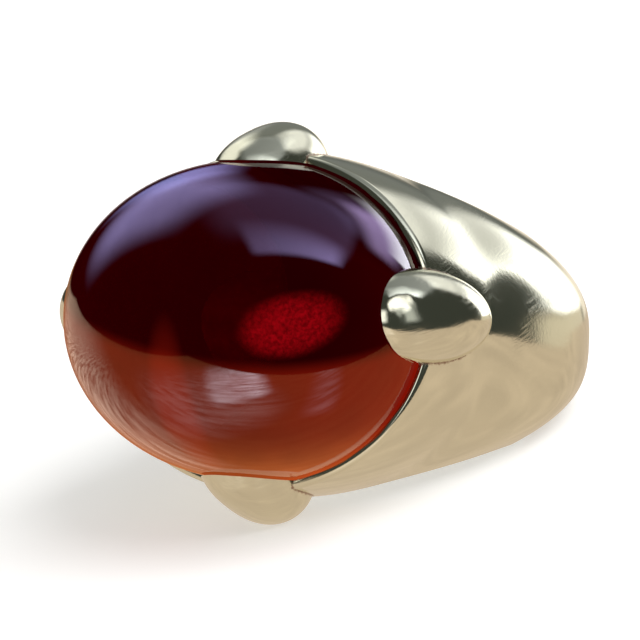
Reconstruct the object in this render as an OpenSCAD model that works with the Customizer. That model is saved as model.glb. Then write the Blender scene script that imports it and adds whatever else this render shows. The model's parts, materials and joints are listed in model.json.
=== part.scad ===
// Cabochon ring: an oval dome stone in a cup, held by four bullet-shaped claws, on a band that widens
// into the cup. The ring lies on its side, stone raised, on its lower claw and the edge of its back.
// It is drawn standing square first: stone towards -Y, finger along Z, shoulders along X.

/* [Stone] */
// Length of the stone, across the ring from shoulder to shoulder
stone_l = 21.8; // [16:0.1:26]
// Width of the stone, along the finger
stone_w = 18.1; // [14:0.1:22]
// Height of the dome above the girdle
dome_h = 10.1; // [6:0.1:13]
// How full the dome is: 2 is a half ellipsoid, more is squarer
dome_fullness = 2.3; // [2:0.05:2.8]
// Depth of the stone below the rim of the cup
seat_depth = 1.6; // [1:0.1:1.8]
// Slant at the lower edge of the stone
stone_bevel = 0.5; // [0.2:0.05:0.8]

/* [Cup] */
// Distance from the finger's axis to the rim of the cup
rim_reach = 13.1; // [12.4:0.1:14]
// Thickness of the rim
rim_w = 0.4; // [0.3:0.05:1]
// Slant at the outer edge of the rim
rim_bevel = 0.2; // [0.1:0.05:0.25]
// Room between the stone and the metal, all round
stone_gap = 0.1; // [0.05:0.01:0.2]
// Length of the light hole under the stone
light_hole_l = 4.6; // [3:0.1:7]
// Width of the light hole
light_hole_w = 2.6; // [1.5:0.1:3]

/* [Band] */
// Diameter of the finger hole
bore_d = 17.4; // [15:0.1:18.2]
// Thickness of the band at its back
back_t = 2.6; // [2:0.1:3.8]
// Thickness of the band at its sides
side_t = 3; // [2.6:0.1:4.4]
// Width of the band at its back
back_w = 6; // [4.8:0.1:6.4]
// Width of the band at its sides
side_w = 14.8; // [12.4:0.1:15.4]
// Width of the shoulders, halfway from the sides to the rim
shoulder_w = 18.8; // [17:0.1:19.6]
// How square the band's section is: 2 is an oval, more is squarer
band_fullness = 2.8; // [2.2:0.1:4]
// How steeply the shoulders close in on the rim
rim_lean = 0.35; // [0.1:0.01:0.5]

/* [Claws] */
// Diameter of the two claws on the shoulders at their thickest
side_claw_d = 5.3; // [4:0.1:6]
// Diameter of the two claws over the ends of the finger hole
end_claw_d = 5.5; // [4:0.1:6]
// Length of a claw from its thickest part over the stone
claw_head = 3.9; // [3:0.1:4.5]
// How far the shoulder claws' axes lie inside the stone's girdle
side_claw_sink = 0.5; // [0:0.1:1]
// How far the end claws' axes lie inside the stone's girdle
end_claw_sink = 0.9; // [0:0.1:1.2]
// How far off the middle the two claws on the shoulders were soldered, along the finger
side_claw_off = 0.4; // [0:0.1:1]
// Distance from the finger's axis to the tail tips of the two claws on the shoulders
side_tail_reach = 8.5; // [7:0.1:9.5]
// Metal between the finger hole and the tail tips of the two claws over its ends
end_tail_room = 0.5; // [0.1:0.1:1]
// How blunt a claw's head is: 2 is round, more is blunter
head_blunt = 2.3; // [2:0.1:3]
// How blunt a claw's tail is on the shoulders
side_tail_blunt = 2; // [1.7:0.1:3]
// How blunt a claw's tail is over the ends of the finger hole
end_tail_blunt = 2.6; // [1.7:0.1:3]

/* [Hidden] */

// Sizes that follow from those above
stone_a = stone_l / 2;
stone_b = stone_w / 2;
bore_r = bore_d / 2;
back_r = bore_r + back_t;
side_r = bore_r + side_t;
cup_a = stone_a + stone_gap + rim_w;
cup_b = stone_b + stone_gap + rim_w;
base_reach = rim_reach - seat_depth;

// Steps of the curved surfaces
belly_steps = 36;
back_steps = 20;
front_steps = 16;
girdle_steps = 72;
dome_steps = 14;
claw_steps = 10;

// A smooth curve of two end values and two end slopes, at a share v of the way along a span
function hermite(p0, p1, m0, m1, span, v) =
    p0 * (2 * pow(v, 3) - 3 * pow(v, 2) + 1) + p1 * (3 * pow(v, 2) - 2 * pow(v, 3))
    + span * (m0 * (pow(v, 3) - 2 * pow(v, 2) + v) + m1 * (pow(v, 3) - pow(v, 2)));

// Half-widths along the way round from the middle of the back to the rim
way_side = side_r * PI / 2;
WAY = 0;
HALF_W = 1;
WIDTHS = [
    // way from the back      half of the width
    [0,                        back_w / 2],
    [way_side,                 side_w / 2],
    [way_side + rim_reach / 2, shoulder_w / 2],
    [way_side + rim_reach,     cup_b],
];
// The slope at a row leans on its neighbours; the back starts level and the rim closes in a little
function width_slope(i) =
    i == 0 ? 0.06
    : i == len(WIDTHS) - 1 ? -rim_lean / 2
    : (WIDTHS[i + 1][HALF_W] - WIDTHS[i - 1][HALF_W]) / (WIDTHS[i + 1][WAY] - WIDTHS[i - 1][WAY]);
function width_row(way, i = 0) =
    i == len(WIDTHS) - 2 || way <= WIDTHS[i + 1][WAY] ? i : width_row(way, i + 1);
function half_w(way) =
    let (
        i = width_row(way),
        span = WIDTHS[i + 1][WAY] - WIDTHS[i][WAY]
    )
    hermite(WIDTHS[i][HALF_W], WIDTHS[i + 1][HALF_W], width_slope(i), width_slope(i + 1), span,
        (way - WIDTHS[i][WAY]) / span);

// Half of the band's breadth across the shoulders at a distance s from the finger's axis
function half_t(s) = hermite(side_r, cup_a, 0, -rim_lean, rim_reach, s / rim_reach);
// The section is squarest on the band and an oval from this share of the way to the rim
oval_from = 0.62;
function fullness(s) =
    let (v = min(1, max(0, s / rim_reach) / oval_from))
    band_fullness + (2 - band_fullness) * v * v * (3 - 2 * v);
// One point of an oval or squared section: u runs from 0 at the top to 180 at the bottom
function section(t, w, n, u) =
    [t * pow(sin(u), 2 / n), w * sign(cos(u)) * pow(abs(cos(u)), 2 / n)];
function belly(u_share) = 180 * u_share;

// Right half of the band, one row of points for each station from the rim to the middle of the back
rim_row = [for (j = [0 : belly_steps])
    let (p = section(cup_a - rim_bevel, cup_b - rim_bevel, 2, belly(j / belly_steps)))
    [p[0], -rim_reach, p[1]]];
front_rows = [for (i = [0 : front_steps])
    let (s = (rim_reach - rim_bevel) * (1 - i / front_steps))
    [for (j = [0 : belly_steps])
        let (p = section(half_t(s), half_w(way_side + s), fullness(s), belly(j / belly_steps)))
        [p[0], -s, p[1]]]];
function outer_r(a) = side_r + (back_r - side_r) * pow(sin(a), 2);
function back_point(a, u) =
    let (p = section(outer_r(a), half_w(way_side * (1 - a / 90)), band_fullness, u))
    [p[0] * cos(a), p[0] * sin(a), p[1]];
back_rows = [for (i = [1 : back_steps])
    [for (j = [0 : belly_steps]) back_point(90 * i / back_steps, belly(j / belly_steps))]];
right_rows = concat([rim_row], front_rows, back_rows);
last_row = len(right_rows) - 1;

// The left half mirrors the right one, and shares the seam above, the seam below and the last row
row_n = belly_steps + 1;
left_start = (last_row + 1) * row_n;
function right_id(i, j) = i * row_n + j;
function left_id(i, j) =
    j == 0 || j == belly_steps || i == last_row ? right_id(i, j)
    : left_start + i * (belly_steps - 1) + j - 1;
body_points = concat(
    [for (row = right_rows) each row],
    [for (i = [0 : last_row - 1]) for (j = [1 : belly_steps - 1])
        [-right_rows[i][j][0], right_rows[i][j][1], right_rows[i][j][2]]]);
body_faces = concat(
    [[for (j = [0 : belly_steps]) right_id(0, j), for (j = [belly_steps - 1 : -1 : 1]) left_id(0, j)]],
    [for (i = [0 : last_row - 1]) for (j = [0 : belly_steps - 1]) each [
        [right_id(i, j), right_id(i + 1, j), right_id(i + 1, j + 1)],
        [right_id(i, j), right_id(i + 1, j + 1), right_id(i, j + 1)],
        [left_id(i, j), left_id(i + 1, j + 1), left_id(i + 1, j)],
        [left_id(i, j), left_id(i, j + 1), left_id(i + 1, j + 1)]]]);

// The stone's rings from its base to the top of its dome, grown by some room on every side
function dome(u, grow) =
    [pow(cos(u), 2 / dome_fullness), rim_reach + (dome_h + grow) * pow(sin(u), 2 / dome_fullness)];
function oval(a, b, s) =
    [for (k = [0 : girdle_steps - 1])
        [a * cos(360 * k / girdle_steps), -s, b * sin(360 * k / girdle_steps)]];
function stone_rings(grow) =
    let (a = stone_a + grow, b = stone_b + grow, base = base_reach - grow)
    concat(
        [oval(a - stone_bevel, b - stone_bevel, base), oval(a, b, base + stone_bevel)],
        [for (i = [0 : dome_steps - 1])
            let (d = dome(90 * i / dome_steps, grow)) oval(a * d[0], b * d[0], d[1])]);

// Claws: the axis runs from the thickest part, at the rim, to the tip of the tail on the band.
// A claw is written as how far out its thickest part and its tail tip lie, the tail's reach and bluntness,
// and the claw's radius
OUT = 0;
TAIL_OUT = 1;
TAIL_REACH = 2;
BLUNT = 3;
RADIUS = 4;
end_tail_reach = bore_r + end_tail_room;
SIDE_CLAW = [stone_a - side_claw_sink, half_t(side_tail_reach), side_tail_reach, side_tail_blunt,
    side_claw_d / 2];
END_CLAW = [stone_b - end_claw_sink, half_w(way_side + end_tail_reach), end_tail_reach, end_tail_blunt,
    end_claw_d / 2];
function claw_axis(c) = [c[TAIL_OUT] - c[OUT], rim_reach - c[TAIL_REACH]];
function claw_lean(c) = atan2(claw_axis(c)[0], claw_axis(c)[1]);
// Half of a claw's outline, from the tip of the tail to the tip of the head: radius, then place
function claw_outline(c) = concat(
    [for (i = [claw_steps : -1 : 1])
        let (u = 90 * i / claw_steps, e = 2 / c[BLUNT])
        [c[RADIUS] * pow(cos(u), e), -norm(claw_axis(c)) * pow(sin(u), e)]],
    [for (i = [0 : claw_steps])
        let (u = 90 * i / claw_steps, e = 2 / head_blunt)
        [c[RADIUS] * pow(cos(u), e), claw_head * pow(sin(u), e)]]);

// How the ring lies. A point's drop is how far below the finger's middle it is once the ring has tipped
function drop(s, f, tip) = f * cos(tip) - s * sin(tip);
function claw_drop(tip) =
    let (lean = claw_lean(END_CLAW))
    max([for (p = claw_outline(END_CLAW))
        drop(rim_reach + p[1] * cos(lean), END_CLAW[OUT] - p[1] * sin(lean), tip)
        + p[0] * cos(tip + lean)]);
function back_drop(tip) = max([for (a = [0 : 1 : 90]) for (x = [0 : 0.05 : 1])
    let (
        r = bore_r + (outer_r(a) - bore_r) * x,
        half = half_w(way_side * (1 - a / 90)),
        f = half * pow(max(0, 1 - pow(r / outer_r(a), band_fullness)), 1 / band_fullness)
    )
    drop(-r * sin(a), f, tip)]);
function find_tip(low, high, n = 24) =
    let (mid = (low + high) / 2)
    n == 0 ? mid
    : claw_drop(mid) > back_drop(mid) ? find_tip(mid, high, n - 1)
    : find_tip(low, mid, n - 1);
tip_angle = find_tip(5, 40);
rest_h = back_drop(tip_angle);

// The ring's reach forwards and backwards once tipped, which centres it on the origin
front_reach = max([for (u = [0 : 1 : 90])
    let (d = dome(u, 0)) d[1] * cos(tip_angle) + stone_b * d[0] * sin(tip_angle)]);
back_reach = max([for (u = [0 : 1 : 90])
    let (p = back_point(90, u)) p[1] * cos(tip_angle) + p[2] * sin(tip_angle)]);

module laid_down() {
    translate([0, (front_reach - back_reach) / 2, rest_h])
        rotate([-tip_angle, 0, 0])
            children();
}

module stone_form(grow) {
    rings = stone_rings(grow);
    top = len(rings);
    n = girdle_steps;
    apex = [0, -(rim_reach + dome_h + grow), 0];
    polyhedron(
        points = concat([for (ring = rings) each ring], [apex]),
        faces = concat(
            [[for (k = [0 : n - 1]) k]],
            [for (i = [0 : top - 2]) for (k = [0 : n - 1]) each [
                [i * n + k, (i + 1) * n + k, (i + 1) * n + (k + 1) % n],
                [i * n + k, (i + 1) * n + (k + 1) % n, i * n + (k + 1) % n]]],
            [for (k = [0 : n - 1]) [(top - 1) * n + k, top * n, (top - 1) * n + (k + 1) % n]]));
}

// A claw on the shoulder that +X points to
module claw(c) {
    translate([c[OUT], -rim_reach, 0])
        rotate([0, 0, -claw_lean(c)])
            rotate([90, 0, 0])
                rotate_extrude($fn = 48)
                    polygon(claw_outline(c));
}

module claws() {
    for (side = [0, 1])
        translate([0, 0, side_claw_off])
            mirror([side, 0, 0])
                claw(SIDE_CLAW);
    for (turn = [-90, 90])
        rotate([0, turn, 0])
            claw(END_CLAW);
}

module finger_bore() {
    cylinder(r = bore_r, h = 4 * cup_b, center = true, $fn = 144);
}

module light_hole() {
    ends = (light_hole_l - light_hole_w) / 2;
    rotate([90, 0, 0]) {
        for (x = [-ends, ends])
            translate([x, 0, 0])
                cylinder(d = light_hole_w, h = rim_reach, $fn = 48);
        translate([-ends, -light_hole_w / 2, 0])
            cube([2 * ends, light_hole_w, rim_reach]);
    }
}

module band() {
    color("khaki")
        laid_down()
            difference() {
                union() {
                    polyhedron(points = body_points, faces = body_faces);
                    claws();
                }
                finger_bore();
                stone_form(stone_gap);
                light_hole();
            }
}

module stone() {
    color("darkred")
        laid_down()
            stone_form(0);
}

band();
stone();
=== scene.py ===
"""Cabochon ring: pale gold with four soldered claws round a domed red stone, finished over its fixed frame.

Lengths are metres. The ring is modelled standing square, with the finger along Z and the stone towards -Y,
and every finished mesh is then laid down the way the frame lies.
"""

import json
import math

import bmesh
import bpy
from bpy.props import FloatProperty, FloatVectorProperty, PointerProperty
from mathutils import Matrix, Vector, kdtree, noise


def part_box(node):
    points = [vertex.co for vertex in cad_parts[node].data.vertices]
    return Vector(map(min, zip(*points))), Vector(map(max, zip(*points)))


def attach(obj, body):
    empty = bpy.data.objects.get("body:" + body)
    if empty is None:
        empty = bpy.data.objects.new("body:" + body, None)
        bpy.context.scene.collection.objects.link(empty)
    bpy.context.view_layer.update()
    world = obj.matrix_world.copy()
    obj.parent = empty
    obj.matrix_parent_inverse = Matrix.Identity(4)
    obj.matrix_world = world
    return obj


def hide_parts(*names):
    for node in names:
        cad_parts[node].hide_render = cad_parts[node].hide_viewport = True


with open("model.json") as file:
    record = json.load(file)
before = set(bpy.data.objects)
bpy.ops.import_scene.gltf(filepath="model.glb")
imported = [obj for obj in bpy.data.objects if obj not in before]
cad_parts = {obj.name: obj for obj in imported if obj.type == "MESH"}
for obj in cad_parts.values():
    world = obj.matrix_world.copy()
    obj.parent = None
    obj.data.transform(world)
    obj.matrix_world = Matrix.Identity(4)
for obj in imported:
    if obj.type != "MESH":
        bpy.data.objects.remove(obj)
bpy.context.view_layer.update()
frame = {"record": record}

bl_info = {
    "name": "Cabochon Ring",
    "version": (1, 0, 0),
    "blender": (4, 5, 0),
    "location": "View3D > Sidebar > Ring",
    "description": "Builds a gold cabochon ring, its stone and a plain studio",
    "category": "Object",
}

MM = 0.001
STONE_LOW, STONE_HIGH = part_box("stone")
HOLE = frame["record"]["mounts"][0]
TIP = math.atan2(HOLE["axis"][1], HOLE["axis"][2])
LAID_DOWN = Matrix.Translation(HOLE["pos_m"]) @ Matrix.Rotation(-TIP, 4, "X")

BAND_FACE, CLAW_FACE, SEAT_FACE = range(3)
DOME_STEPS = 40
STONE_SEGMENTS = 192
SAME_PLACE = 0.001 * MM


def length(name, description, size, low, high):
    """A length property, given in millimetres."""
    return FloatProperty(name=name, description=description, unit="LENGTH", precision=5,
                         default=size * MM, min=low * MM, max=high * MM)


class RingSizes(bpy.types.PropertyGroup):
    stone_length: FloatProperty(name="Stone length", description="Across the ring", unit="LENGTH",
                                precision=5, default=STONE_HIGH.x - STONE_LOW.x)
    stone_width: length("Stone width", "Along the finger", 18.1, 14, 22)
    dome_height: length("Dome height", "Height of the dome above the girdle", 10.1, 6, 13)
    dome_fullness: FloatProperty(name="Dome fullness", description="2 is half an ellipsoid, more is squarer",
                                 default=2.3, min=2, max=3)
    seat_depth: length("Seat depth", "Depth of the stone below the rim of the cup", 1.6, 1, 1.8)
    stone_bevel: length("Stone bevel", "Slant at the lower edge of the stone", 0.5, 0.2, 0.8)
    stone_gap: length("Stone gap", "Room between the stone and the metal", 0.1, 0.05, 0.2)
    rim_reach: length("Rim reach", "From the finger's axis to the rim of the cup", 13.1, 12.4, 14)
    rim_width: length("Rim width", "Thickness of the rim", 0.4, 0.3, 1)
    rim_bevel: length("Rim bevel", "Rounding at the outer edge of the rim", 0.2, 0.1, 0.25)
    rim_lean: FloatProperty(name="Rim lean", description="How steeply the shoulders close in on the rim",
                            default=0.35, min=0.1, max=0.5)
    breadth_lean: FloatProperty(name="Breadth lean", description="How steeply the sides of the cup close in",
                                default=0.2, min=0.1, max=0.4)
    light_hole_length: length("Light hole length", "Length of the hole under the stone", 4.6, 3, 7)
    light_hole_width: length("Light hole width", "Width of the hole under the stone", 2.6, 1.5, 3)
    back_thickness: length("Back thickness", "Thickness of the band at its back", 2.6, 2, 3.8)
    side_thickness: length("Side thickness", "Thickness of the band at its sides", 3.25, 2.6, 4.4)
    back_width: length("Back width", "Width of the band at its back", 6, 4.8, 6.4)
    side_width: length("Side width", "Width of the band at its sides", 14.8, 12.4, 15.4)
    shoulder_width: length("Shoulder width", "Width halfway from the sides to the rim", 18.8, 17, 19.6)
    band_fullness: FloatProperty(name="Band fullness", description="2 is an oval section, more is squarer",
                                 default=2.8, min=2.2, max=4)
    hole_round: length("Hole rounding", "Rounding at the edges of the finger hole", 0.3, 0.1, 0.6)
    side_claw_diameter: length("Shoulder claw diameter", "Thickest part of the shoulder claws", 5.3, 4, 6)
    end_claw_diameter: length("End claw diameter", "Thickest part of the claws over the hole", 5.5, 4, 6)
    claw_head: length("Claw head", "From a claw's thickest part to its tip over the stone", 3.9, 3, 4.5)
    side_claw_sink: length("Shoulder claw sink", "How far their axes lie inside the girdle", 0.5, 0, 1)
    end_claw_sink: length("End claw sink", "How far their axes lie inside the girdle", 0.9, 0, 1.2)
    side_claw_off: length("Shoulder claw offset", "How far off the middle they were soldered", 0.4, 0, 1)
    side_tail_reach: length("Shoulder tail reach", "From the finger's axis to the claws' tails", 8.5, 7, 9.5)
    end_tail_room: length("End tail room", "Metal between the finger hole and the tails", 0.5, 0.1, 1)
    head_blunt: FloatProperty(name="Head bluntness", description="2 is round", default=2.3, min=2, max=3)
    side_tail_blunt: FloatProperty(name="Shoulder tail bluntness", description="2 is round",
                                   default=2, min=1.7, max=3)
    end_tail_blunt: FloatProperty(name="End tail bluntness", description="2 is round",
                                  default=2.6, min=1.7, max=3)
    solder_reach: length("Solder reach", "How far the solder along a claw spreads", 0.35, 0.1, 0.8)


def tint(name, description, rgb):
    """A colour property."""
    return FloatVectorProperty(name=name, description=description, subtype="COLOR", size=3,
                               min=0, max=1, default=rgb)


class RingColours(bpy.types.PropertyGroup):
    gold: tint("Gold", "Colour of clean gold", (0.84, 0.82, 0.66))
    solder: tint("Solder", "Colour of the solder line", (0.36, 0.20, 0.14))
    stone: tint("Stone", "Light that the stone lets through", (0.84, 0.1, 0.05))
    stone_depth: FloatProperty(name="Stone depth", description="How strongly the stone absorbs, per metre",
                               default=1250, min=0, max=3000)
    # Painted light: these four colours are glows painted as emission on the stone's surface, standing in for
    # light that passes through it.
    deep: tint("Deep glow", "Light from the depth of the stone", (0.006, 0.0, 0.0003))
    low: tint("Low glow", "Light from the lower half of the stone", (0.095, 0.004, 0.001))
    ember: tint("Ember", "Light of the bright patch in the stone", (0.20, 0.001, 0.003))
    rim: tint("Rim glow", "Light along the lower edge of the stone", (0.16, 0.045, 0.008))


class StudioSettings(bpy.types.PropertyGroup):
    turn: FloatProperty(name="View turn", description="Camera's turn round the ring from the stone's front",
                        default=math.radians(33.593), subtype="ANGLE")
    rise: FloatProperty(name="View rise", description="Camera's angle above the middle plane of the ring",
                        default=math.radians(-2.584), subtype="ANGLE")
    roll: FloatProperty(name="View roll", description="Lean of the camera to its left",
                        default=math.radians(2.591), subtype="ANGLE")
    place: FloatVectorProperty(name="View place", description="From the finger's middle, as the camera sees",
                               subtype="XYZ", unit="LENGTH", size=3,
                               default=(-3.895 * MM, 0.889 * MM, 400 * MM))
    lens: FloatProperty(name="Lens", description="Focal length in millimetres", default=390.1)
    sensor: FloatProperty(name="Sensor", description="Width of the sensor in millimetres", default=36)
    floor_radius: FloatProperty(name="Floor radius", description="Radius of the floor",
                                default=3, unit="LENGTH")
    floor_glow: FloatProperty(name="Floor glow", description="Light that the floor gives by itself",
                              default=0.45)
    lamp_power: FloatProperty(name="Lamp power", description="Strength of the wide light on the floor",
                              default=2.4)
    lamp_turn: FloatProperty(name="Lamp turn", description="Turn of the lamp to the right of the camera",
                             default=math.radians(90), subtype="ANGLE")
    lamp_rise: FloatProperty(name="Lamp rise", description="Angle of the lamp above the floor",
                             default=math.radians(50), subtype="ANGLE")
    lamp_width: FloatProperty(name="Lamp width", description="How wide the lamp looks from the ring",
                              default=math.radians(50), subtype="ANGLE")


def smooth_curve(start, end, slope_in, slope_out, span, share):
    """A curve of two end values and two end slopes, at a share of the way along a span."""
    square = share * share
    cube = square * share
    value = start * (2 * cube - 3 * square + 1) + end * (3 * square - 2 * cube)
    return value + span * (slope_in * (cube - 2 * square + share) + slope_out * (cube - square))


class Band:
    """The form of the band: half-widths, half-breadths and sections, from the ring's sizes."""

    OVAL_FROM = 0.62
    BACK_SLOPE = 0.06

    def __init__(self, sizes):
        self.sizes = sizes
        self.bore = HOLE["dims"]["r_mm"] * MM
        self.rim = sizes.rim_reach
        self.side = self.bore + sizes.side_thickness
        self.back = self.bore + sizes.back_thickness
        self.cup_a = sizes.stone_length / 2 + sizes.stone_gap + sizes.rim_width
        self.cup_b = sizes.stone_width / 2 + sizes.stone_gap + sizes.rim_width
        self.way_side = self.side * math.pi / 2
        self.widths = [
            (0, sizes.back_width / 2),
            (self.way_side, sizes.side_width / 2),
            (self.way_side + self.rim / 2, sizes.shoulder_width / 2),
            (self.way_side + self.rim, self.cup_b),
        ]

    def width_slope(self, row):
        if row == 0:
            return self.BACK_SLOPE
        if row == len(self.widths) - 1:
            return -self.sizes.rim_lean / 2
        before, after = self.widths[row - 1], self.widths[row + 1]
        return (after[1] - before[1]) / (after[0] - before[0])

    def half_width(self, way):
        """Half of the band's width at a way round from the middle of its back."""
        last = len(self.widths) - 2
        row = next((i for i in range(last) if way <= self.widths[i + 1][0]), last)
        start, end = self.widths[row], self.widths[row + 1]
        span = end[0] - start[0]
        return smooth_curve(start[1], end[1], self.width_slope(row), self.width_slope(row + 1),
                            span, (way - start[0]) / span)

    def half_breadth(self, reach):
        """Half of the band's breadth across the shoulders, at a distance in front of the finger's axis."""
        return smooth_curve(self.side, self.cup_a, 1 - self.back / self.side, -self.sizes.breadth_lean,
                            self.rim, reach / self.rim)

    def fullness(self, reach):
        share = min(1, max(0, reach / self.rim) / self.OVAL_FROM)
        return self.sizes.band_fullness + (2 - self.sizes.band_fullness) * share * share * (3 - 2 * share)

    def back_radius(self, turn):
        return self.side + (self.back - self.side) * math.sin(turn)

    @staticmethod
    def row(half_t, half_w, full, cut, share):
        """A point of a squared oval, at a share of its way from the edge of the hole to its other edge."""
        edge = math.atan2(cut / half_t, max(0, 1 - (cut / half_t) ** full) ** (1 / full))
        turn = edge + (math.pi - 2 * edge) * share
        side, up = math.sin(turn), math.cos(turn)
        grow = (abs(side) ** full + abs(up) ** full) ** (-1 / full)
        return half_t * grow * side, half_w * grow * up

    def front_point(self, reach, share):
        cut = math.sqrt(max(0, self.bore ** 2 - reach ** 2))
        across, up = self.row(self.half_breadth(reach), self.half_width(self.way_side + reach),
                              self.fullness(reach), cut, share)
        return Vector((across, -reach, up))

    def back_point(self, turn, share):
        radius = self.back_radius(turn)
        out, up = self.row(radius, self.half_width(self.way_side * (1 - turn * 2 / math.pi)),
                           self.sizes.band_fullness, self.bore, share)
        return Vector((out * math.cos(turn), out * math.sin(turn), up))


class Claw:
    """One bullet-shaped claw: where its axis runs, how it is turned and its outline."""

    STEPS = 30
    SEGMENTS = 96
    DENT = 0.06 * MM
    DENT_SPACING = 1.1 * MM
    SMALL_DENT_SPACING = 0.45 * MM
    DENTED_FROM = 0.2
    DENTED_FULLY_OVER = 0.4

    def __init__(self, band, end, side):
        sizes = band.sizes
        self.head = sizes.claw_head
        self.head_blunt = sizes.head_blunt
        if end:
            tail_reach = band.bore + sizes.end_tail_room
            self.radius = sizes.end_claw_diameter / 2
            out = sizes.stone_width / 2 - sizes.end_claw_sink
            tail_out = band.half_width(band.way_side + tail_reach)
            self.tail_blunt = sizes.end_tail_blunt
            place = Matrix.Rotation(math.radians(90 * side), 4, "Y")
        else:
            tail_reach = sizes.side_tail_reach
            self.radius = sizes.side_claw_diameter / 2
            out = sizes.stone_length / 2 - sizes.side_claw_sink
            tail_out = band.half_breadth(tail_reach)
            self.tail_blunt = sizes.side_tail_blunt
            about = math.radians(90 - 90 * side)
            place = Matrix.Translation((0, 0, sizes.side_claw_off)) @ Matrix.Rotation(about, 4, "Y")
        axis = Vector((tail_out - out, band.rim - tail_reach))
        self.tail = axis.length
        lean = math.atan2(axis.x, axis.y)
        self.place = (place @ Matrix.Translation((out, -band.rim, 0)) @ Matrix.Rotation(-lean, 4, "Z")
                      @ Matrix.Rotation(math.pi / 2, 4, "X"))

    def batter(self, bm):
        """Dents and flats that filing left near the tip of the head, where the claw was pushed over."""
        for vert in bm.verts:
            share = vert.co.z / self.head
            if share > self.DENTED_FROM:
                wide = noise.noise(vert.co / self.DENT_SPACING)
                dent = wide + 0.5 * noise.noise(vert.co / self.SMALL_DENT_SPACING)
                strength = min(1, (share - self.DENTED_FROM) / self.DENTED_FULLY_OVER)
                vert.co -= vert.co.normalized() * self.DENT * strength * max(0, dent)

    def half(self, along, blunt, turn):
        power = 2 / blunt
        return self.radius * math.cos(turn) ** power, along * math.sin(turn) ** power

    def outline(self):
        """(radius, place) from the tip of the tail to the tip of the head."""
        turns = [math.pi / 2 * i / self.STEPS for i in range(self.STEPS + 1)]
        tail = [self.half(-self.tail, self.tail_blunt, turn) for turn in reversed(turns)]
        head = [self.half(self.head, self.head_blunt, turn) for turn in turns[1:]]
        return [(0, -self.tail), *tail[1:], *head[:-1], (0, self.head)]


CLAWS = {"east": (False, 1), "west": (False, -1), "north": (True, -1), "south": (True, 1)}


def turned(outline, steps):
    """A closed form spun about Z from its outline, which is (radius, height) from pole to pole."""
    bm = bmesh.new()
    verts = [bm.verts.new((radius, 0, height)) for radius, height in outline]
    edges = [bm.edges.new(pair) for pair in zip(verts, verts[1:])]
    bmesh.ops.spin(bm, geom=verts + edges, cent=(0, 0, 0), axis=(0, 0, 1), angle=2 * math.pi, steps=steps,
                   use_merge=True)
    face_outward(bm)
    return bm


def face_outward(bm):
    """Merges what lies on itself and points every face outwards."""
    bmesh.ops.remove_doubles(bm, verts=bm.verts, dist=SAME_PLACE)
    bm.normal_update()
    bmesh.ops.recalc_face_normals(bm, faces=bm.faces)


def new_object(name, bm):
    mesh = bpy.data.meshes.new(name)
    bm.to_mesh(mesh)
    bm.free()
    ob = bpy.data.objects.new(name, mesh)
    bpy.context.scene.collection.objects.link(ob)
    return ob


def number_faces(ob, number, *materials):
    """Gives a piece one set of material slots and all its faces one of them."""
    for material in materials:
        ob.data.materials.append(material)
    for face in ob.data.polygons:
        face.material_index = number


def carve(ob, tool, operation):
    """Joins a tool to a piece, or cuts it out of it, and removes the tool."""
    step = ob.modifiers.new(operation.lower(), "BOOLEAN")
    step.object = tool
    step.operation = operation
    step.solver = "EXACT"
    mesh = bpy.data.meshes.new_from_object(ob.evaluated_get(bpy.context.evaluated_depsgraph_get()))
    ob.modifiers.clear()
    old = ob.data
    ob.data = mesh
    mesh.name = ob.name
    bpy.data.meshes.remove(old)
    bpy.data.meshes.remove(tool.data)


def mark_solder(ob, reach):
    """Marks the metal along the line where the claws' faces meet the band's, and fades out from it."""
    kinds = {}
    for face in ob.data.polygons:
        for key in face.edge_keys:
            kinds.setdefault(key, set()).add(face.material_index)
    joined = {BAND_FACE, CLAW_FACE}
    seam = [ob.data.vertices[i].co for key, kind in kinds.items() if kind == joined for i in key]
    tree = kdtree.KDTree(len(seam))
    for i, place in enumerate(seam):
        tree.insert(place, i)
    tree.balance()
    mark = ob.data.attributes.new("solder", "FLOAT", "POINT")
    for vert in ob.data.vertices:
        mark.data[vert.index].value = max(0, 1 - tree.find(vert.co)[2] / reach)


def lay_down(ob, smooth_under):
    """Turns a finished mesh from standing square to lying as the frame lies, and shades it smooth."""
    ob.data.transform(LAID_DOWN)
    for face in ob.data.polygons:
        face.use_smooth = True
    ob.data.set_sharp_from_angle(angle=math.radians(smooth_under))


# Shader maths

class Wire:
    """A number on a node's socket, which Python's operators work on by adding Math nodes."""

    def __init__(self, shade, socket):
        self.shade = shade
        self.socket = socket

    def maths(self, operation, *values):
        return self.shade.node("Math", {"operation": operation}, *values)

    def __add__(self, other):
        return self.maths("ADD", self, other)

    def __radd__(self, other):
        return self.maths("ADD", other, self)

    def __sub__(self, other):
        return self.maths("SUBTRACT", self, other)

    def __rsub__(self, other):
        return self.maths("SUBTRACT", other, self)

    def __mul__(self, other):
        return self.maths("MULTIPLY", self, other)

    def __rmul__(self, other):
        return self.maths("MULTIPLY", other, self)

    def __truediv__(self, other):
        return self.maths("DIVIDE", self, other)

    def __pow__(self, other):
        return self.maths("POWER", self, other)

    def most(self, other):
        return self.maths("MAXIMUM", self, other)

    def size(self):
        return self.maths("ABSOLUTE", self)

    def step(self, low, high):
        """0 below low, 1 above high and smooth between."""
        return self.shade.node("MapRange", {"interpolation_type": "SMOOTHSTEP"}, self, low, high, 0, 1)


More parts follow.
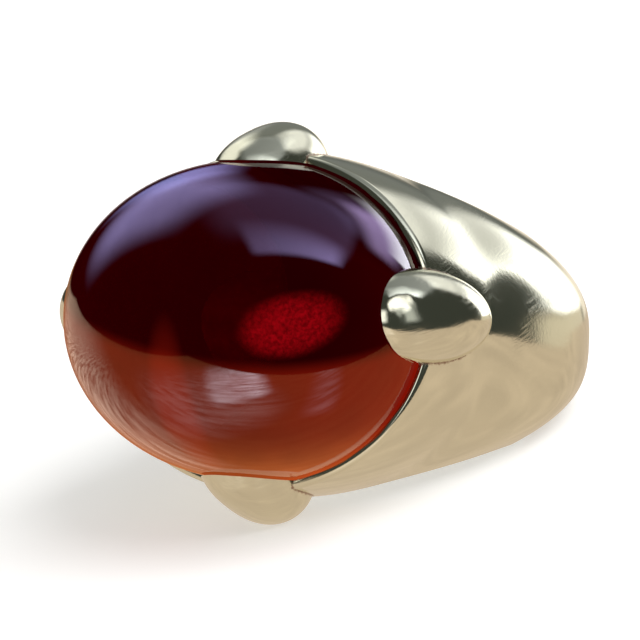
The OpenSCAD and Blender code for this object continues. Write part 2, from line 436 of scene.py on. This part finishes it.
class Shade:
    """A node tree that is built from Python."""

    def __init__(self, tree):
        self.tree = tree
        tree.nodes.clear()

    def node(self, kind, settings=None, *values, out=0, **named):
        """Adds a node of a kind, sets it up, feeds its sockets and gives one of its outputs."""
        made = self.tree.nodes.new("ShaderNode" + kind)
        for key, value in (settings or {}).items():
            setattr(made, key, value)
        sockets = [s for s in made.inputs if s.enabled]
        for socket, value in [*zip(sockets, values), *((made.inputs[k], v) for k, v in named.items())]:
            self.feed(socket, value)
        outputs = [s for s in made.outputs if s.enabled]
        return Wire(self, made.outputs[out] if isinstance(out, str) else outputs[out])

    def feed(self, socket, value):
        if isinstance(value, Wire):
            self.tree.links.new(value.socket, socket)
        else:
            socket.default_value = value

    def apart(self, place):
        """The three numbers of a place."""
        made = self.tree.nodes.new("ShaderNodeSeparateXYZ")
        self.feed(made.inputs[0], place)
        return [Wire(self, socket) for socket in made.outputs]

    def pile(self, start, lights):
        """A colour with others added to it, each of them as strong as its share says."""
        total = start if isinstance(start, Wire) else tuple(start)
        for share, rgb in lights:
            rgb = rgb if isinstance(rgb, Wire) else tuple(rgb)
            total = self.node("VectorMath", {"operation": "MULTIPLY_ADD"}, share, rgb, total)
        return total

    def mix(self, share, first, second):
        """One colour over another."""
        return self.node("Mix", {"data_type": "RGBA"}, share, first, second)

    def noise(self, place, scale, detail=2, roughness=0.5):
        return self.node("TexNoise", None, Vector=place, Scale=scale, Detail=detail, Roughness=roughness)


def colour(rgb):
    return (*rgb, 1)


def new_material(name):
    material = bpy.data.materials.new(name)
    material.use_nodes = True
    return material, Shade(material.node_tree)


def finish_material(shade, surface, volume=None):
    end = shade.tree.nodes.new("ShaderNodeOutputMaterial")
    shade.tree.links.new(surface.socket, end.inputs["Surface"])
    if volume:
        shade.tree.links.new(volume.socket, end.inputs["Volume"])


def scratches(shade, place, turn, run, spacing, width):
    """Fine lines: 1 in a line and 0 between the lines."""
    stretch = 1 / (run * MM), 1 / (run * MM), 1 / (spacing * MM)
    waves = shade.noise(shade.node("Mapping", None, place, Rotation=turn, Scale=stretch), 1, 1)
    return (1 - (waves - 0.5).size() / width).most(0)


# Scratches run roughly one way each: how the way is turned, the length of a line and the room between
# lines in millimetres, and the share of that room that a line takes.
SCRATCHES = (
    {"turn": (0.3, 0.9, 0.5), "run": 5, "spacing": 0.5, "width": 0.035},
    {"turn": (1.2, 0.4, 2.0), "run": 4, "spacing": 0.5, "width": 0.03},
    {"turn": (2.2, 1.3, 0.1), "run": 4, "spacing": 0.38, "width": 0.03},
    {"turn": (0.6, 2.4, 1.1), "run": 4, "spacing": 0.6, "width": 0.03},
)
DULLED_GOLD = 0.88
UNPOLISHED_GOLD = 0.55


def scaled(rgb, share):
    return [part * share for part in rgb]


def gold_material(name, roughness, wear, colours):
    """Gold with fine scratches, pits and cloudy wear, brown along the solder."""
    material, shade = new_material(name)
    place = shade.node("TexCoord", None, out="Object")
    cloud = shade.noise(place, 260, 4)
    fine = shade.noise(place, 5200, 3)
    lines = scratches(shade, place, **SCRATCHES[0])
    for row in SCRATCHES[1:]:
        lines = lines.most(scratches(shade, place, **row))
    worn = lines * cloud.step(0.48, 0.66) * wear
    solder = shade.node("Attribute", {"attribute_name": "solder"}, out="Fac")
    brown = (solder * (0.35 + fine)).step(0.5, 0.85)
    clean = shade.mix(cloud.step(0.35, 0.75) * 0.5, colour(colours.gold),
                      colour(scaled(colours.gold, DULLED_GOLD)))
    height = fine * 0.6 - worn * 0.4
    bump = shade.node("Bump", None, Strength=0.35, Distance=0.012 * MM, Height=height)
    surface = shade.node(
        "BsdfPrincipled", None,
        **{"Base Color": shade.mix(brown * 0.8, clean, colour(colours.solder)), "Metallic": 1.0,
           "Roughness": cloud * 0.04 + worn * 0.15 + brown * 0.3 + roughness, "Normal": bump},
    )
    finish_material(shade, surface)
    return material


def seat_material(colours):
    """The cast inside of the cup, never polished."""
    material, shade = new_material("seat_gold")
    place = shade.node("TexCoord", None, out="Object")
    grain = shade.noise(place, 3000, 3)
    bump = shade.node("Bump", None, Strength=0.4, Distance=0.02 * MM, Height=grain)
    surface = shade.node("BsdfPrincipled", None,
                         **{"Base Color": shade.mix(grain, colour(scaled(colours.gold, UNPOLISHED_GOLD)),
                                                    colour(colours.gold)),
                            "Metallic": 1.0, "Roughness": grain * 0.2 + 0.35, "Normal": bump})
    finish_material(shade, surface)
    return material


# Where the painted glow lies on the stone, in millimetres of the frame. A patch has a middle and radii.
# A level is a height that leans up to the left, and the painted glow sets in between two of them.
PAINTED_EMBER_PATCH = ((7.3, -13.6, 13.9), (3.1, 4, 1.9))
PAINTED_STRIPE_PATCH = ((0.4, -16.2, 10.0), (1.6, 9, 5.6))
LEVEL_LEAN = 0.2
PAINTED_LOW_GLOW_LEVELS = (12.4, 13.6)
PAINTED_RIM_GLOW_LEVELS = (4.6, 9.5)
GARNET_BENDS_LIGHT = 1.75


def stone_material(colours):
    """Polished clear stone that takes its colour from its depth, with painted glow on its lower half."""
    material, shade = new_material("garnet")
    place = shade.node("TexCoord", None, out="Object")
    across, away, height = shade.apart(shade.node("VectorMath", {"operation": "SCALE"}, place, Scale=1 / MM))
    fine = shade.noise(place, 1500, 3)
    cloud = shade.noise(place, 420, 3)
    flecks = shade.noise(place, 4200, 4, 0.7)
    level = height + across * LEVEL_LEAN
    below = 1 - level.step(*PAINTED_LOW_GLOW_LEVELS)
    edge = (1 - level.step(*PAINTED_RIM_GLOW_LEVELS)) ** 1.5

    def blob(middle_place, radii):
        """1 at the middle of an oval patch, 0 at its edge."""
        places = zip((across, away, height), middle_place, radii)
        x, y, z = ((part - at) / radius for part, at, radius in places)
        return 1 - (x * x + y * y + z * z).step(0.1, 1)

    # Painted light: a bright patch, a stripe, the lower half and the lower edge glow as emission, standing
    # in for light passing through the stone.
    ember = blob(*PAINTED_EMBER_PATCH) * (0.45 + flecks.step(0.3, 0.75))
    band = blob(*PAINTED_STRIPE_PATCH)
    glow = shade.pile(colours.deep, [
        (below * (0.75 + cloud * 0.5 + across.step(3, 9) * 0.4), colours.low),
        (band * 0.7, colours.low),
        (ember, colours.ember),
        (edge * (0.7 + cloud * 0.6), colours.rim),
    ])
    bump = shade.node("Bump", None, Strength=0.03, Distance=0.004 * MM, Height=fine)
    surface = shade.node("BsdfPrincipled", None,
                         **{"Base Color": (1, 1, 1, 1), "Roughness": 0.0, "IOR": GARNET_BENDS_LIGHT,
                            "Transmission Weight": 1.0, "Normal": bump, "Emission Color": glow,
                            "Emission Strength": 1.0})
    volume = shade.node("VolumeAbsorption", None, Color=colour(colours.stone), Density=colours.stone_depth)
    finish_material(shade, surface, volume)
    return material


class RingPiece:
    """What the operators that make pieces share."""

    bl_options = {"REGISTER", "UNDO"}

    @staticmethod
    def settings():
        scene = bpy.context.scene
        return scene.ring_sizes, scene.ring_colours, Band(scene.ring_sizes)


def stone_outline(band, grow):
    """The stone's outline at full length, from the middle of its base to the top of its dome."""
    sizes = band.sizes
    half = sizes.stone_length / 2 + grow
    base = sizes.rim_reach - sizes.seat_depth - grow
    power = 2 / sizes.dome_fullness
    dome = []
    for i in range(DOME_STEPS):
        turn = math.pi / 2 * i / DOME_STEPS
        dome.append((half * math.cos(turn) ** power,
                     sizes.rim_reach + (sizes.dome_height + grow) * math.sin(turn) ** power))
    return [(0, base), (half - sizes.stone_bevel, base), (half, base + sizes.stone_bevel), *dome,
            (0, sizes.rim_reach + sizes.dome_height + grow)]


def stone_form(band, grow):
    """The stone, or the room for it in the metal, grown by some room on every side."""
    bm = turned(stone_outline(band, grow), STONE_SEGMENTS)
    sizes = band.sizes
    squeeze = (sizes.stone_width / 2 + grow) / (sizes.stone_length / 2 + grow)
    bmesh.ops.scale(bm, vec=(1, squeeze, 1), verts=bm.verts)
    bmesh.ops.rotate(bm, cent=(0, 0, 0), matrix=Matrix.Rotation(math.pi / 2, 3, "X"), verts=bm.verts)
    return bm


def boundary_loops(bm):
    """The open edges of a mesh, one list for each loop."""
    left = {edge for edge in bm.edges if edge.is_boundary}
    loops = []
    while left:
        loop = [left.pop()]
        for edge in loop:
            for vert in edge.verts:
                for near in vert.link_edges:
                    if near in left:
                        left.remove(near)
                        loop.append(near)
        loops.append(loop)
    return loops


def middle(edges):
    return sum((vert.co for edge in edges for vert in edge.verts), Vector()) / (2 * len(edges))


class RING_OT_gold(RingPiece, bpy.types.Operator):
    """Band, cup and claws, soldered into one piece of gold"""

    bl_idname = "ring.gold"
    bl_label = "Gold Ring"

    COLUMNS = 88
    RIM_ROWS = 20
    HOLE_ROWS = 44
    BACK_ROWS = 44
    HOLE_EDGE_STEPS = 4
    LIGHT_HOLE_SEGMENTS = 48
    SMOOTH_UNDER = 32
    RIM_SLANT = ((0.3, 0.55), (0.65, 0.85), (1, 1))

    def execute(self, context):
        sizes, colours, band = self.settings()
        ob = new_object("gold_ring", self.skin(band))
        materials = [
            gold_material("band_gold", roughness=0.075, wear=0.8, colours=colours),
            gold_material("claw_gold", roughness=0.09, wear=1.0, colours=colours),
            seat_material(colours),
        ]
        for material in materials:
            ob.data.materials.append(material)
        for end, side in CLAWS.values():
            claw = Claw(band, end, side)
            bm = turned(claw.outline(), claw.SEGMENTS)
            claw.batter(bm)
            bmesh.ops.transform(bm, matrix=claw.place, verts=bm.verts)
            tool = new_object("claw", bm)
            number_faces(tool, CLAW_FACE, *materials)
            carve(ob, tool, "UNION")
        for form in (stone_form(band, sizes.stone_gap), self.light_hole(sizes)):
            tool = new_object("cutter", form)
            number_faces(tool, SEAT_FACE, *materials)
            carve(ob, tool, "DIFFERENCE")
        mark_solder(ob, sizes.solder_reach)
        lay_down(ob, self.SMOOTH_UNDER)
        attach(ob, "root")
        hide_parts("band")
        return {"FINISHED"}

    def skin(self, band):
        """The band as one closed form round the finger hole, with the cup still full."""
        bm = bmesh.new()
        rows = self.RIM_ROWS + self.HOLE_ROWS + self.BACK_ROWS
        bmesh.ops.create_grid(bm, x_segments=self.COLUMNS, y_segments=rows, size=0.5)
        for vert in bm.verts:
            row = (vert.co.y + 0.5) * rows
            vert.co = self.place(band, row, vert.co.x + 0.5)
        bmesh.ops.mirror(bm, geom=bm.verts[:] + bm.edges[:] + bm.faces[:], axis="X", merge_dist=SAME_PLACE)
        face_outward(bm)
        loops = sorted(boundary_loops(bm), key=lambda loop: middle(loop).y)
        rim, mouths = loops[0], loops[1] + loops[2]
        bmesh.ops.bridge_loops(bm, edges=mouths)
        face_outward(bm)
        bmesh.ops.bevel(bm, geom=mouths, offset=band.sizes.hole_round, offset_type="OFFSET",
                        segments=self.HOLE_EDGE_STEPS, profile=0.5, affect="EDGES", clamp_overlap=True,
                        material=-1)
        self.close_rim(bm, band, rim)
        face_outward(bm)
        return bm

    def place(self, band, row, share):
        """Where a point of the skin lies: rows run from the rim past the hole's edge to the back."""
        if row <= self.RIM_ROWS:
            start = band.rim - band.sizes.rim_bevel
            return band.front_point(start + (band.bore - start) * row / self.RIM_ROWS, share)
        row -= self.RIM_ROWS
        if row <= self.HOLE_ROWS:
            return band.front_point(band.bore * math.cos(math.pi / 2 * row / self.HOLE_ROWS), share)
        return band.back_point(math.pi / 2 * (row - self.HOLE_ROWS) / self.BACK_ROWS, share)

    def close_rim(self, bm, band, rim):
        """Rounds the rim over and closes it with a flat face."""
        bevel = band.sizes.rim_bevel
        start = band.rim - bevel
        for inward, rise in self.RIM_SLANT:
            made = bmesh.ops.extrude_edge_only(bm, edges=rim)["geom"]
            rim = [part for part in made if isinstance(part, bmesh.types.BMEdge)]
            shrink = 1 - bevel * inward / band.cup_a, 1 - bevel * inward / band.cup_b
            for vert in {vert for edge in rim for vert in edge.verts}:
                turn = math.atan2(vert.co.z / band.cup_b, vert.co.x / band.cup_a)
                vert.co = (band.cup_a * shrink[0] * math.cos(turn), -(start + bevel * rise),
                           band.cup_b * shrink[1] * math.sin(turn))
        bmesh.ops.contextual_create(bm, geom=rim)

    def light_hole(self, sizes):
        """The long hole through the floor of the cup that lets light up into the stone."""
        bm = bmesh.new()
        radius = sizes.light_hole_width / 2
        bmesh.ops.create_circle(bm, cap_ends=True, radius=radius, segments=self.LIGHT_HOLE_SEGMENTS)
        stretch = sizes.light_hole_length / 2 - radius
        for vert in bm.verts:
            if abs(vert.co.x) > SAME_PLACE:
                vert.co.x += math.copysign(stretch, vert.co.x)
        made = bmesh.ops.extrude_face_region(bm, geom=bm.faces[:])["geom"]
        top = [part for part in made if isinstance(part, bmesh.types.BMVert)]
        bmesh.ops.translate(bm, vec=(0, 0, sizes.rim_reach), verts=top)
        bmesh.ops.rotate(bm, cent=(0, 0, 0), matrix=Matrix.Rotation(math.pi / 2, 3, "X"), verts=bm.verts)
        face_outward(bm)
        return bm


class RING_OT_stone(RingPiece, bpy.types.Operator):
    """The domed stone"""

    bl_idname = "ring.stone"
    bl_label = "Stone"

    SMOOTH_UNDER = 25

    def execute(self, context):
        sizes, colours, band = self.settings()
        ob = new_object("garnet_cabochon", stone_form(band, 0))
        ob.data.materials.append(stone_material(colours))
        lay_down(ob, self.SMOOTH_UNDER)
        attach(ob, "root")
        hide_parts("stone")
        return {"FINISHED"}


# The studio. A direction is a turn to the right of the camera and a rise above the floor, in degrees.

DARK_WALLS = (0.045, 0.050, 0.043)
WALLS_IN_STONE = (0, 0, 0)
TABLE_TOP = (0.64, 0.52, 0.40)
TABLE_IN_STONE = (0.40, 0.17, 0.06)
TABLE_EDGES = ((95, 88), (36, 59), (130, 70))
TABLE_SOFT = 0.012
GRAIN_RUN = 0.8
GRAIN_SPACING = 0.12
GRAIN_SHADES = ((0.88, 0.88, 0.88), (1.12, 1.12, 1.12))
BACKDROP = (0.93, 0.93, 0.93)
FLOOR_SEGMENTS = 64
FLOOR = (0.80, 0.79, 0.78)
FLOOR_LIGHT = (1, 0.99, 0.975)

# Softboxes lie flat across a direction at a distance of 1. Their edges are places on that flat, to the
# right and upwards. The left and lower edges fade over "soft", the right and upper ones over "fade". With
# "to_right" the glow grows from left to right. The metal mirrors them in one tint and the polished stone
# in another, which gives the stone its violet sheen.
SOFTBOXES = {
    "ceiling edge": {
        "turn": 0, "rise": 90, "left": -0.1, "right": 1.2, "low": -0.42, "high": -0.08,
        "soft": 0.07, "fade": 0.26, "glow": 0.69, "to_right": 1.03,
        "metal": (0.90, 0.96, 1.04), "stone": (1.2, 1.0, 2.1),
    },
    "ceiling": {
        "turn": 0, "rise": 90, "left": -0.25, "right": 1.35, "low": -0.1, "high": 1.1,
        "soft": 0.2, "fade": 0.2, "glow": 0.2, "to_right": 0.1,
        "metal": (0.90, 0.96, 1.04), "stone": (1.0, 0.8, 1.7),
    },
    "right wall": {
        "turn": 138, "rise": 0, "left": -0.365, "right": 0.22, "low": -0.27, "high": 0.22,
        "soft": 0.03, "fade": 0.13, "glow": 2.2,
        "metal": (0.97, 0.98, 1.0), "stone": (3.0, 3.0, 3.3),
    },
    "lower wall": {
        "turn": 138, "rise": 0, "left": -0.49, "right": -0.365, "low": -0.27, "high": 0.1,
        "soft": 0.03, "fade": 0.03, "glow": 2.2,
        "metal": (0.0, 0.0, 0.0), "stone": (1.5, 1.5, 1.7),
    },
    "wall foot": {
        "turn": 125, "rise": -18, "left": -0.18, "right": 0.4, "low": -0.1, "high": 0.06,
        "soft": 0.03, "fade": 0.05, "glow": 0.7,
        "metal": (1.0, 0.88, 0.70), "stone": (0.5, 0.4, 0.4),
    },
    "low right": {
        "turn": 165, "rise": -9, "left": -0.25, "right": 0.45, "low": -0.2, "high": 0.06,
        "soft": 0.08, "fade": 0.1, "glow": 0.95,
        "metal": (1.0, 0.9, 0.76), "stone": (0.5, 0.4, 0.4),
    },
    "right glow": {
        "turn": 131, "rise": 20, "left": -0.26, "right": 0.36, "low": -0.06, "high": 0.3,
        "soft": 0.1, "fade": 0.1, "glow": 0.95,
        "metal": (0.97, 0.98, 1.0), "stone": (0.2, 0.15, 0.3),
    },
    "sheen": {
        "turn": 131, "rise": 18, "left": -0.35, "right": 0.22, "low": -0.1, "high": 0.16,
        "soft": 0.1, "fade": 0.1, "glow": 0.7,
        "metal": (0.0, 0.0, 0.0), "stone": (2.3, 1.7, 3.2),
    },
    "left wall": {
        "turn": -152, "rise": 37, "left": -0.40, "right": 0.40, "low": -0.34, "high": 0.4,
        "soft": 0.2, "fade": 0.25, "glow": 0.95,
        "metal": (1.0, 1.0, 0.95), "stone": (1.15, 1.05, 2.2),
    },
    "far corner": {
        "turn": -172, "rise": 17, "left": -0.16, "right": 0.12, "low": -0.2, "high": 0.2,
        "soft": 0.08, "fade": 0.12, "glow": 0.6,
        "metal": (0.3, 0.3, 0.3), "stone": (1.0, 1.05, 2.4),
    },
    "back wall": {
        "turn": 165, "rise": 15, "left": -0.25, "right": 0.45, "low": -0.28, "high": 0.5,
        "soft": 0.12, "fade": 0.2, "glow": 0.16,
        "metal": (0.95, 1.0, 1.0), "stone": (0.0, 0.0, 0.0),
    },
    "front": {
        "turn": 30, "rise": 12, "left": -0.22, "right": 0.18, "low": -0.35, "high": 0.5,
        "soft": 0.12, "fade": 0.15, "glow": 0.5,
        "metal": (0.95, 1.0, 1.0), "stone": (0.0, 0.0, 0.0),
    },
    "window": {
        "turn": 12, "rise": 44, "left": -0.3, "right": 0.35, "low": -0.2, "high": 0.2,
        "soft": 0.12, "fade": 0.12, "glow": 1.5,
        "metal": (1.0, 1.0, 1.0), "stone": (0.0, 0.0, 0.0),
    },
    "low window": {
        "turn": -30, "rise": 14, "left": -0.2, "right": 0.12, "low": -0.25, "high": 0.3,
        "soft": 0.1, "fade": 0.12, "glow": 1.2,
        "metal": (1.0, 1.0, 1.0), "stone": (0.0, 0.0, 0.0),
    },
}
TABLE_GLARES = {
    "glare": {
        "turn": -31, "rise": -23, "left": -0.3, "right": 0.22, "low": -0.26, "high": 0.24,
        "soft": 0.08, "fade": 0.1, "glow": 1.7, "to_right": 2.0,
        "metal": (0.1, 0.1, 0.1), "stone": (1.0, 0.98, 1.12),
    },
    "wide glare": {
        "turn": -52, "rise": -37, "left": -0.5, "right": 0.5, "low": -0.4, "high": 0.4,
        "soft": 0.3, "fade": 0.3, "glow": 0.4,
        "metal": (0.1, 0.1, 0.1), "stone": (1.0, 0.95, 1.0),
    },
    "right glare": {
        "turn": 30, "rise": -44, "left": -0.12, "right": 0.12, "low": -0.4, "high": 0.35,
        "soft": 0.12, "fade": 0.1, "glow": 0.3,
        "metal": (0.1, 0.1, 0.1), "stone": (1.0, 0.9, 1.1),
    },
    "far left": {
        "turn": -130, "rise": -22, "left": -0.5, "right": 0.4, "low": -0.6, "high": 0.5,
        "soft": 0.3, "fade": 0.3, "glow": 0.8,
        "metal": (0.0, 0.0, 0.0), "stone": (0.9, 0.8, 0.65),
    },
}


def toward(turn, rise):
    turn, rise = math.radians(turn), math.radians(rise)
    return Vector((math.sin(turn) * math.cos(rise), -math.cos(turn) * math.cos(rise), math.sin(rise)))


def softbox_light(box, along):
    """How bright a softbox is in each direction, with soft edges."""
    middle_way = toward(box["turn"], box["rise"])
    right = toward(box["turn"] + 90, 0)
    up = right.cross(-middle_way)
    front = along(middle_way)
    across = along(right) / front
    rise = along(up) / front
    soft, fade = box["soft"], box["fade"]
    inside = front.step(0.0, 0.02) * across.step(box["left"] - soft, box["left"] + soft)
    inside = inside * rise.step(box["low"] - soft, box["low"] + soft)
    inside = inside * (1 - across.step(box["right"] - fade, box["right"] + fade))
    inside = inside * (1 - rise.step(box["high"] - fade, box["high"] + fade))
    if "to_right" in box:
        return inside * (across * box["to_right"] + box["glow"])
    return inside * box["glow"]


class RING_OT_studio(bpy.types.Operator):
    """Pale floor, soft light from above and the camera"""

    bl_idname = "ring.studio"
    bl_label = "Studio"

    def execute(self, context):
        studio = context.scene.ring_studio
        self.camera(studio)
        self.floor(studio)
        self.lamp(studio)
        self.world()
        context.scene.view_settings.view_transform = "Standard"
        return {"FINISHED"}

    @staticmethod
    def camera(studio):
        data = bpy.data.cameras.new("camera")
        data.lens = studio.lens
        data.sensor_width = studio.sensor
        data.clip_start, data.clip_end = 0.01, 10
        ob = bpy.data.objects.new("camera", data)
        level = toward(math.degrees(studio.turn), math.degrees(studio.rise)).to_track_quat("Z", "Y")
        ob.matrix_world = (LAID_DOWN @ level.to_matrix().to_4x4() @ Matrix.Rotation(studio.roll, 4, "Z")
                           @ Matrix.Translation(studio.place))
        bpy.context.scene.collection.objects.link(ob)
        bpy.context.scene.camera = ob

    @staticmethod
    def floor(studio):
        bm = bmesh.new()
        bmesh.ops.create_circle(bm, cap_ends=True, radius=studio.floor_radius, segments=FLOOR_SEGMENTS)
        floor = new_object("floor", bm)
        floor.visible_glossy = False
        floor.visible_transmission = False
        material, shade = new_material("floor")
        finish_material(shade, shade.node("BsdfPrincipled", None,
                                          **{"Base Color": colour(FLOOR), "Roughness": 0.8,
                                             "Emission Color": colour(FLOOR_LIGHT),
                                             "Emission Strength": studio.floor_glow}))
        floor.data.materials.append(material)

    @staticmethod
    def lamp(studio):
        """Wide light from above, which gives the floor its shadows and isn't mirrored."""
        data = bpy.data.lights.new("overhead", "SUN")
        data.energy = studio.lamp_power
        data.angle = studio.lamp_width
        ob = bpy.data.objects.new("overhead", data)
        way = toward(math.degrees(studio.lamp_turn), math.degrees(studio.lamp_rise))
        ob.matrix_world = way.to_track_quat("Z", "Y").to_matrix().to_4x4()
        ob.visible_glossy = False
        ob.visible_transmission = False
        bpy.context.scene.collection.objects.link(ob)

    @staticmethod
    def world():
        """The room that the metal and the stone mirror: dark walls, softboxes and a pale table top."""
        world = bpy.data.worlds.new("studio")
        world.use_nodes = True
        bpy.context.scene.world = world
        shade = Shade(world.node_tree)
        generated = shade.node("TexCoord", None, out="Generated")
        view = bpy.context.scene.camera.matrix_world.to_3x3().col[2]
        way = shade.node("VectorRotate", {"rotation_type": "Z_AXIS"}, Vector=generated,
                         Angle=-math.atan2(view.x, -view.y))

        def along(direction):
            return shade.node("VectorMath", {"operation": "DOT_PRODUCT"}, way, tuple(direction))

        polished = shade.node("LightPath", None, out="Is Singular Ray")
        seen = shade.node("LightPath", None, out="Is Camera Ray")

        def either(metal, stone):
            """One colour as the metal mirrors it and another as the polished stone does."""
            return shade.mix(polished, colour(metal), colour(stone))

        def lit(start, boxes, share=1):
            return shade.pile(start, [(softbox_light(box, along) * share, either(box["metal"], box["stone"]))
                                      for box in boxes.values()])

        down = along((0, 0, -1)).most(0.02)
        on_table = shade.node("CombineXYZ", None, along((1, 0, 0)) / down / GRAIN_RUN,
                              along((0, 1, 0)) / down / GRAIN_SPACING, 0)
        grain = shade.noise(on_table, 1, 3, 0.6).step(0.3, 0.7)
        board = shade.node("Mix", {"data_type": "RGBA", "blend_type": "MULTIPLY"}, 1.0,
                           either(TABLE_TOP, TABLE_IN_STONE),
                           shade.mix(grain, *(colour(rgb) for rgb in GRAIN_SHADES)))
        edge = along(toward(*TABLE_EDGES[0]))
        for place in TABLE_EDGES[1:]:
            edge = edge.most(along(toward(*place)))
        above = edge.step(-TABLE_SOFT, TABLE_SOFT)
        room = shade.mix(above, lit(board, TABLE_GLARES, 0.3 + grain * 1.4),
                         lit(either(DARK_WALLS, WALLS_IN_STONE), SOFTBOXES))
        back = shade.node("Background", None, shade.mix(seen, room, colour(BACKDROP)), 1.0)
        end = shade.tree.nodes.new("ShaderNodeOutputWorld")
        shade.tree.links.new(back.socket, end.inputs["Surface"])


class RING_PT_panel(bpy.types.Panel):
    bl_idname = "RING_PT_panel"
    bl_label = "Cabochon Ring"
    bl_space_type = "VIEW_3D"
    bl_region_type = "UI"
    bl_category = "Ring"

    def draw(self, context):
        for group in (context.scene.ring_sizes, context.scene.ring_colours, context.scene.ring_studio):
            column = self.layout.column()
            for name in group.__annotations__:
                column.prop(group, name)
        for step in STEPS:
            self.layout.operator(step.bl_idname)


STEPS = (RING_OT_studio, RING_OT_gold, RING_OT_stone)
CLASSES = (RingSizes, RingColours, StudioSettings, *STEPS, RING_PT_panel)


def register():
    for cls in CLASSES:
        bpy.utils.register_class(cls)
    bpy.types.Scene.ring_sizes = PointerProperty(type=RingSizes)
    bpy.types.Scene.ring_colours = PointerProperty(type=RingColours)
    bpy.types.Scene.ring_studio = PointerProperty(type=StudioSettings)


def unregister():
    del bpy.types.Scene.ring_studio, bpy.types.Scene.ring_colours, bpy.types.Scene.ring_sizes
    for cls in reversed(CLASSES):
        bpy.utils.unregister_class(cls)


def main():
    register()
    bpy.ops.ring.studio()
    bpy.ops.ring.gold()
    bpy.ops.ring.stone()
    bpy.context.view_layer.update()


if __name__ == "__main__":
    main()
